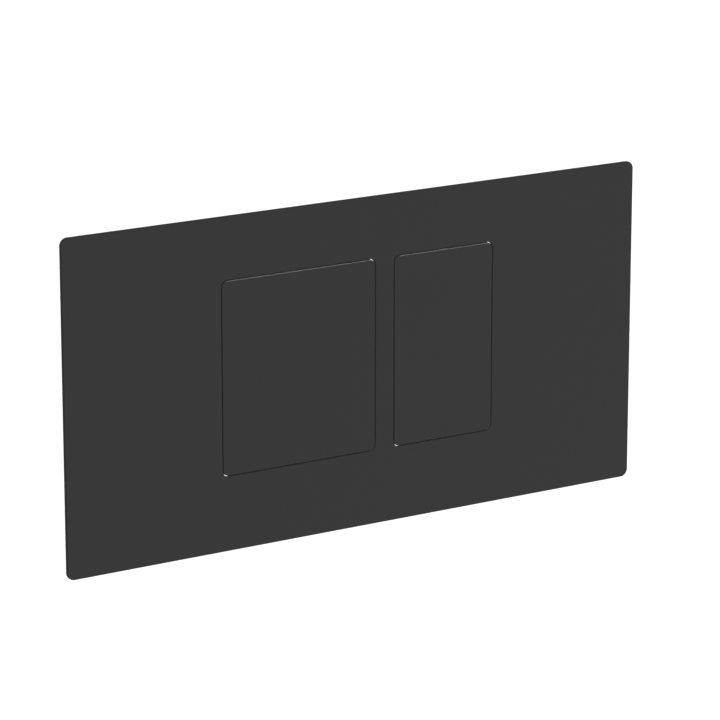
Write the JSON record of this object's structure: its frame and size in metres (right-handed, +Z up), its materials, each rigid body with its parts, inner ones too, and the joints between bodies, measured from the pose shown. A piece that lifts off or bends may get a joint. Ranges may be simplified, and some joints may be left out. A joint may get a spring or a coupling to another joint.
{
  "type": "flush button plate",
  "caption": "Rectangular matt black flush plate for a concealed cistern, with a wide full-flush button and a narrow half-flush button set flush, hinged at the top, each pushing a rod.",
  "frame": {"origin": "middle of the plate's width and height, on the wall's face, where the foam seal lies", "axes": "+X to the right as seen from the room, +Y into the wall, +Z up"},
  "size_m": [0.275, 0.0682, 0.14],
  "materials": {
    "coated_steel": "matt black powder coat",
    "black_moulding": "fine spark texture",
    "grey_moulding": "moulded satin",
    "white_acetal": "natural acetal",
    "spring_steel": "rolled spring steel",
    "zinc_steel": "zinc plated",
    "foam": "closed-cell foam",
    "rubber_pad": "moulded rubber"
  },
  "bodies": {
    "plate_assembly": {"face_plate": "coated_steel", "plate_nuts": "zinc_steel", "wall_seal": "foam", "chassis": "black_moulding", "full_hinge_pin": "spring_steel", "half_hinge_pin": "spring_steel", "full_leaf_left": "spring_steel", "full_leaf_right": "spring_steel", "half_leaf_left": "spring_steel", "half_leaf_right": "spring_steel", "stop_pads": "rubber_pad", "mounting_frame": "grey_moulding", "fixing_studs": "white_acetal", "fixing_nuts": "white_acetal"},
    "full_key": {"full_button_cap": "coated_steel", "full_button_carrier": "black_moulding"},
    "full_rod": {"full_push_rod": "white_acetal", "full_rod_lock_nut": "zinc_steel", "full_rod_extension": "white_acetal"},
    "half_key": {"half_button_cap": "coated_steel", "half_button_carrier": "black_moulding"},
    "half_rod": {"half_push_rod": "white_acetal", "half_rod_lock_nut": "zinc_steel", "half_rod_extension": "white_acetal"}
  },
  "joints": [
    {"name": "full_key_hinge", "type": "hinge", "parent": "plate_assembly", "child": "full_key", "pos_m": [-0.029, 0.003, 0.03845], "axis": [1, 0, 0], "range_deg": [0, 5], "stiffness_Nm_per_rad": 2, "springref_deg": -5.73, "deforming": ["full_leaf_left", "full_leaf_right"]},
    {"name": "full_rod_slide", "type": "slide", "parent": "plate_assembly", "child": "full_rod", "axis": [0, 1, 0], "range_m": [0, 0.0044]},
    {"name": "half_key_hinge", "type": "hinge", "parent": "plate_assembly", "child": "half_key", "pos_m": [0.0411, 0.003, 0.03845], "axis": [1, 0, 0], "range_deg": [0, 5], "stiffness_Nm_per_rad": 2, "springref_deg": -5.73, "deforming": ["half_leaf_left", "half_leaf_right"]},
    {"name": "half_rod_slide", "type": "slide", "parent": "plate_assembly", "child": "half_rod", "axis": [0, 1, 0], "range_m": [0, 0.0044]}
  ],
  "couplings": [
    {"joint": "full_rod_slide", "follows": "full_key_hinge", "m_per_rad": 0.05},
    {"joint": "half_rod_slide", "follows": "half_key_hinge", "m_per_rad": 0.05}
  ]
}
